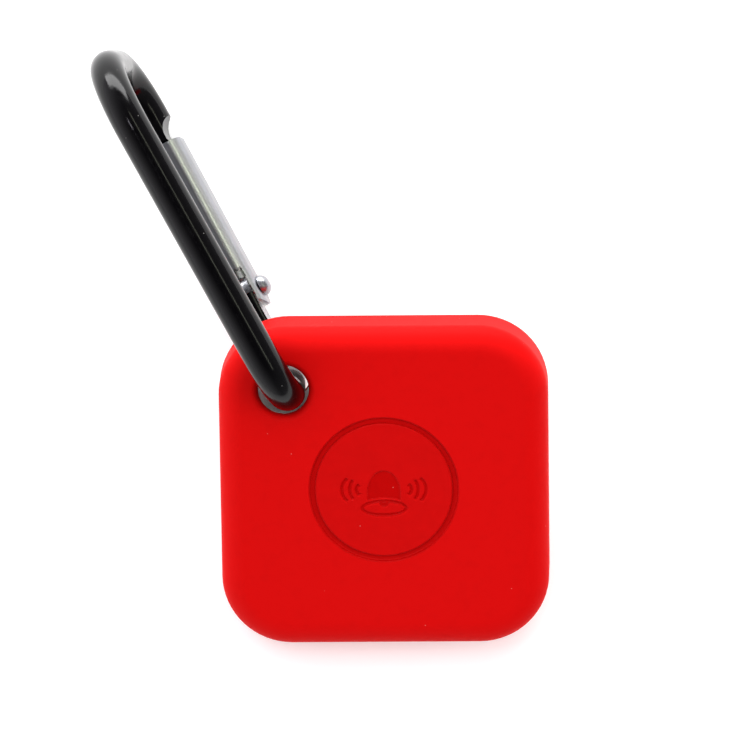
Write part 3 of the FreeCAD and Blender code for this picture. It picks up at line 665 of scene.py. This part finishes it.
def softbox(name, azimuth, polar, distance, width, height, radiance, tint=(1, 1, 1), glossy=True):
    """Area light facing the object; width lies level, radiance is its brightness."""
    aim = (cad_low + cad_high) / 2
    data = bpy.data.lights.new(name, "AREA")
    data.shape = "RECTANGLE"
    data.size = width
    data.size_y = height
    data.energy = radiance * math.pi * width * height
    data.color = tint
    light = bpy.data.objects.new(name, data)
    away = direction(azimuth, polar)
    light.location = aim + away * distance
    light.rotation_euler = (-away).to_track_quat("-Z", "Y").to_euler()
    light.visible_camera = False
    light.visible_glossy = glossy
    bpy.context.scene.collection.objects.link(light)


def light_the_scene():
    """Softbox low behind, a small one overhead, a strip, and two fills that give no reflections."""
    softbox("softbox_behind", azimuth=95, polar=82, distance=1.0, width=1.3, height=0.5, radiance=9.5)
    softbox("softbox_top", azimuth=126, polar=13, distance=1.2, width=0.07, height=0.20, radiance=15.0,
            tint=(0.93, 0.90, 1.0))
    softbox("strip_right", azimuth=29, polar=30, distance=1.0, width=0.9, height=0.07, radiance=4.5,
            tint=(0.95, 1.0, 0.80))
    softbox("fill_above", azimuth=100, polar=22, distance=1.4, width=2.2, height=1.8, radiance=1.66,
            glossy=False)
    softbox("fill_right", azimuth=-5, polar=68, distance=1.2, width=1.0, height=0.8, radiance=2.3,
            glossy=False)


WORLD_FRONT = 1.75
WORLD_BACK = 0.33
WORLD_FACING = (-0.97, -0.26, 0.0)
FACING_STARTS = -0.1
OVERHEAD_SHARE = 0.03
DARK_POLAR = 8
BRIGHT_POLAR = 88
BACKDROP = 0.95
UP = (0.0, 0.0, 1.0)


def world_node(tree, kind, *sources, **values):
    """New node with its properties set, and its inputs linked or filled in order."""
    new = tree.nodes.new(kind)
    for label, value in values.items():
        setattr(new, label, value)
    for socket, source in zip(new.inputs, sources):
        if isinstance(source, bpy.types.NodeSocket):
            tree.links.new(source, socket)
        else:
            socket.default_value = source
    return new


def tent_brightness(tree):
    """Brightness of the tent: bright low on the left, dim on the right and dark overhead."""
    place = tree.nodes.new("ShaderNodeTexCoord").outputs["Generated"]

    def towards(axis):
        product = world_node(tree, "ShaderNodeVectorMath", place, axis, operation="DOT_PRODUCT")
        return product.outputs["Value"]

    def mapped(value, low, high, low_to, high_to):
        scaled = world_node(tree, "ShaderNodeMapRange", value, low, high, low_to, high_to)
        return scaled.outputs["Result"]

    front = mapped(towards(WORLD_FACING), FACING_STARTS, 1.0, WORLD_BACK, WORLD_FRONT)
    polar = world_node(tree, "ShaderNodeMath", towards(UP), operation="ARCCOSINE").outputs[0]
    rising = mapped(polar, math.radians(DARK_POLAR), math.radians(BRIGHT_POLAR), OVERHEAD_SHARE, 1.0)
    return world_node(tree, "ShaderNodeMath", front, rising, operation="MULTIPLY").outputs[0]


def make_world():
    """White tent that lights the object, and an even white backdrop for the camera."""
    world = bpy.data.worlds.new("studio")
    world.use_nodes = True
    tree = world.node_tree
    back = tree.nodes["Background"]
    back.inputs["Color"].default_value = colour(0.97, 0.95, 1.0)
    camera_ray = tree.nodes.new("ShaderNodeLightPath").outputs["Is Camera Ray"]
    seen = world_node(tree, "ShaderNodeMix", camera_ray)
    tree.links.new(tent_brightness(tree), seen.inputs["A"])
    seen.inputs["B"].default_value = BACKDROP
    tree.links.new(seen.outputs["Result"], back.inputs["Strength"])
    bpy.context.scene.world = world
    bpy.context.scene.view_settings.view_transform = "Standard"


CAMERA_DISTANCE = 0.805
CAMERA_FOCAL = 337.6
CAMERA_TILT = (0.489, 1.674, -0.366)
CAMERA_AIM = (-1.12 * MM, 12.48 * MM, 0.0)


def make_camera():
    """Long lens almost straight above, looking at a point between the tag and the loop."""
    turn = Euler([math.radians(angle) for angle in CAMERA_TILT]).to_matrix()
    aim = TAG.translation + turn @ Vector(CAMERA_AIM)
    data = bpy.data.cameras.new("camera")
    data.lens = CAMERA_FOCAL
    data.sensor_width = 36.0
    data.clip_start = 0.01
    data.clip_end = 20.0
    camera = bpy.data.objects.new("camera", data)
    place = aim + turn @ Vector((0, 0, CAMERA_DISTANCE))
    camera.matrix_world = Matrix.Translation(place) @ turn.to_4x4()
    bpy.context.scene.collection.objects.link(camera)
    bpy.context.scene.camera = camera


make_camera()
make_floor()
make_world()
light_the_scene()
moulded = silicone("silicone_sleeve_finish", tone=1.0, roughness=0.58, grain=0.000012)
pressed = silicone("silicone_pad_finish", tone=0.90, roughness=0.58, grain=0.000012)
# The groove and the sunk symbol are smoother, and their lower tones are painted shade.
grooved = silicone("silicone_groove_finish_and_shade", tone=0.80, roughness=0.35, grain=0.000004)
sunk = silicone("silicone_symbol_finish_and_shade", tone=0.77, roughness=0.25, grain=0.000004)
paint_nodes()
assign(moulded, "silicone_sleeve")
assign(pressed, "press_pad")
stand_in(make_sleeve((moulded, grooved)), "tag", "silicone_sleeve")
stand_in(make_pad((pressed, sunk, grooved)), "button", "press_pad")
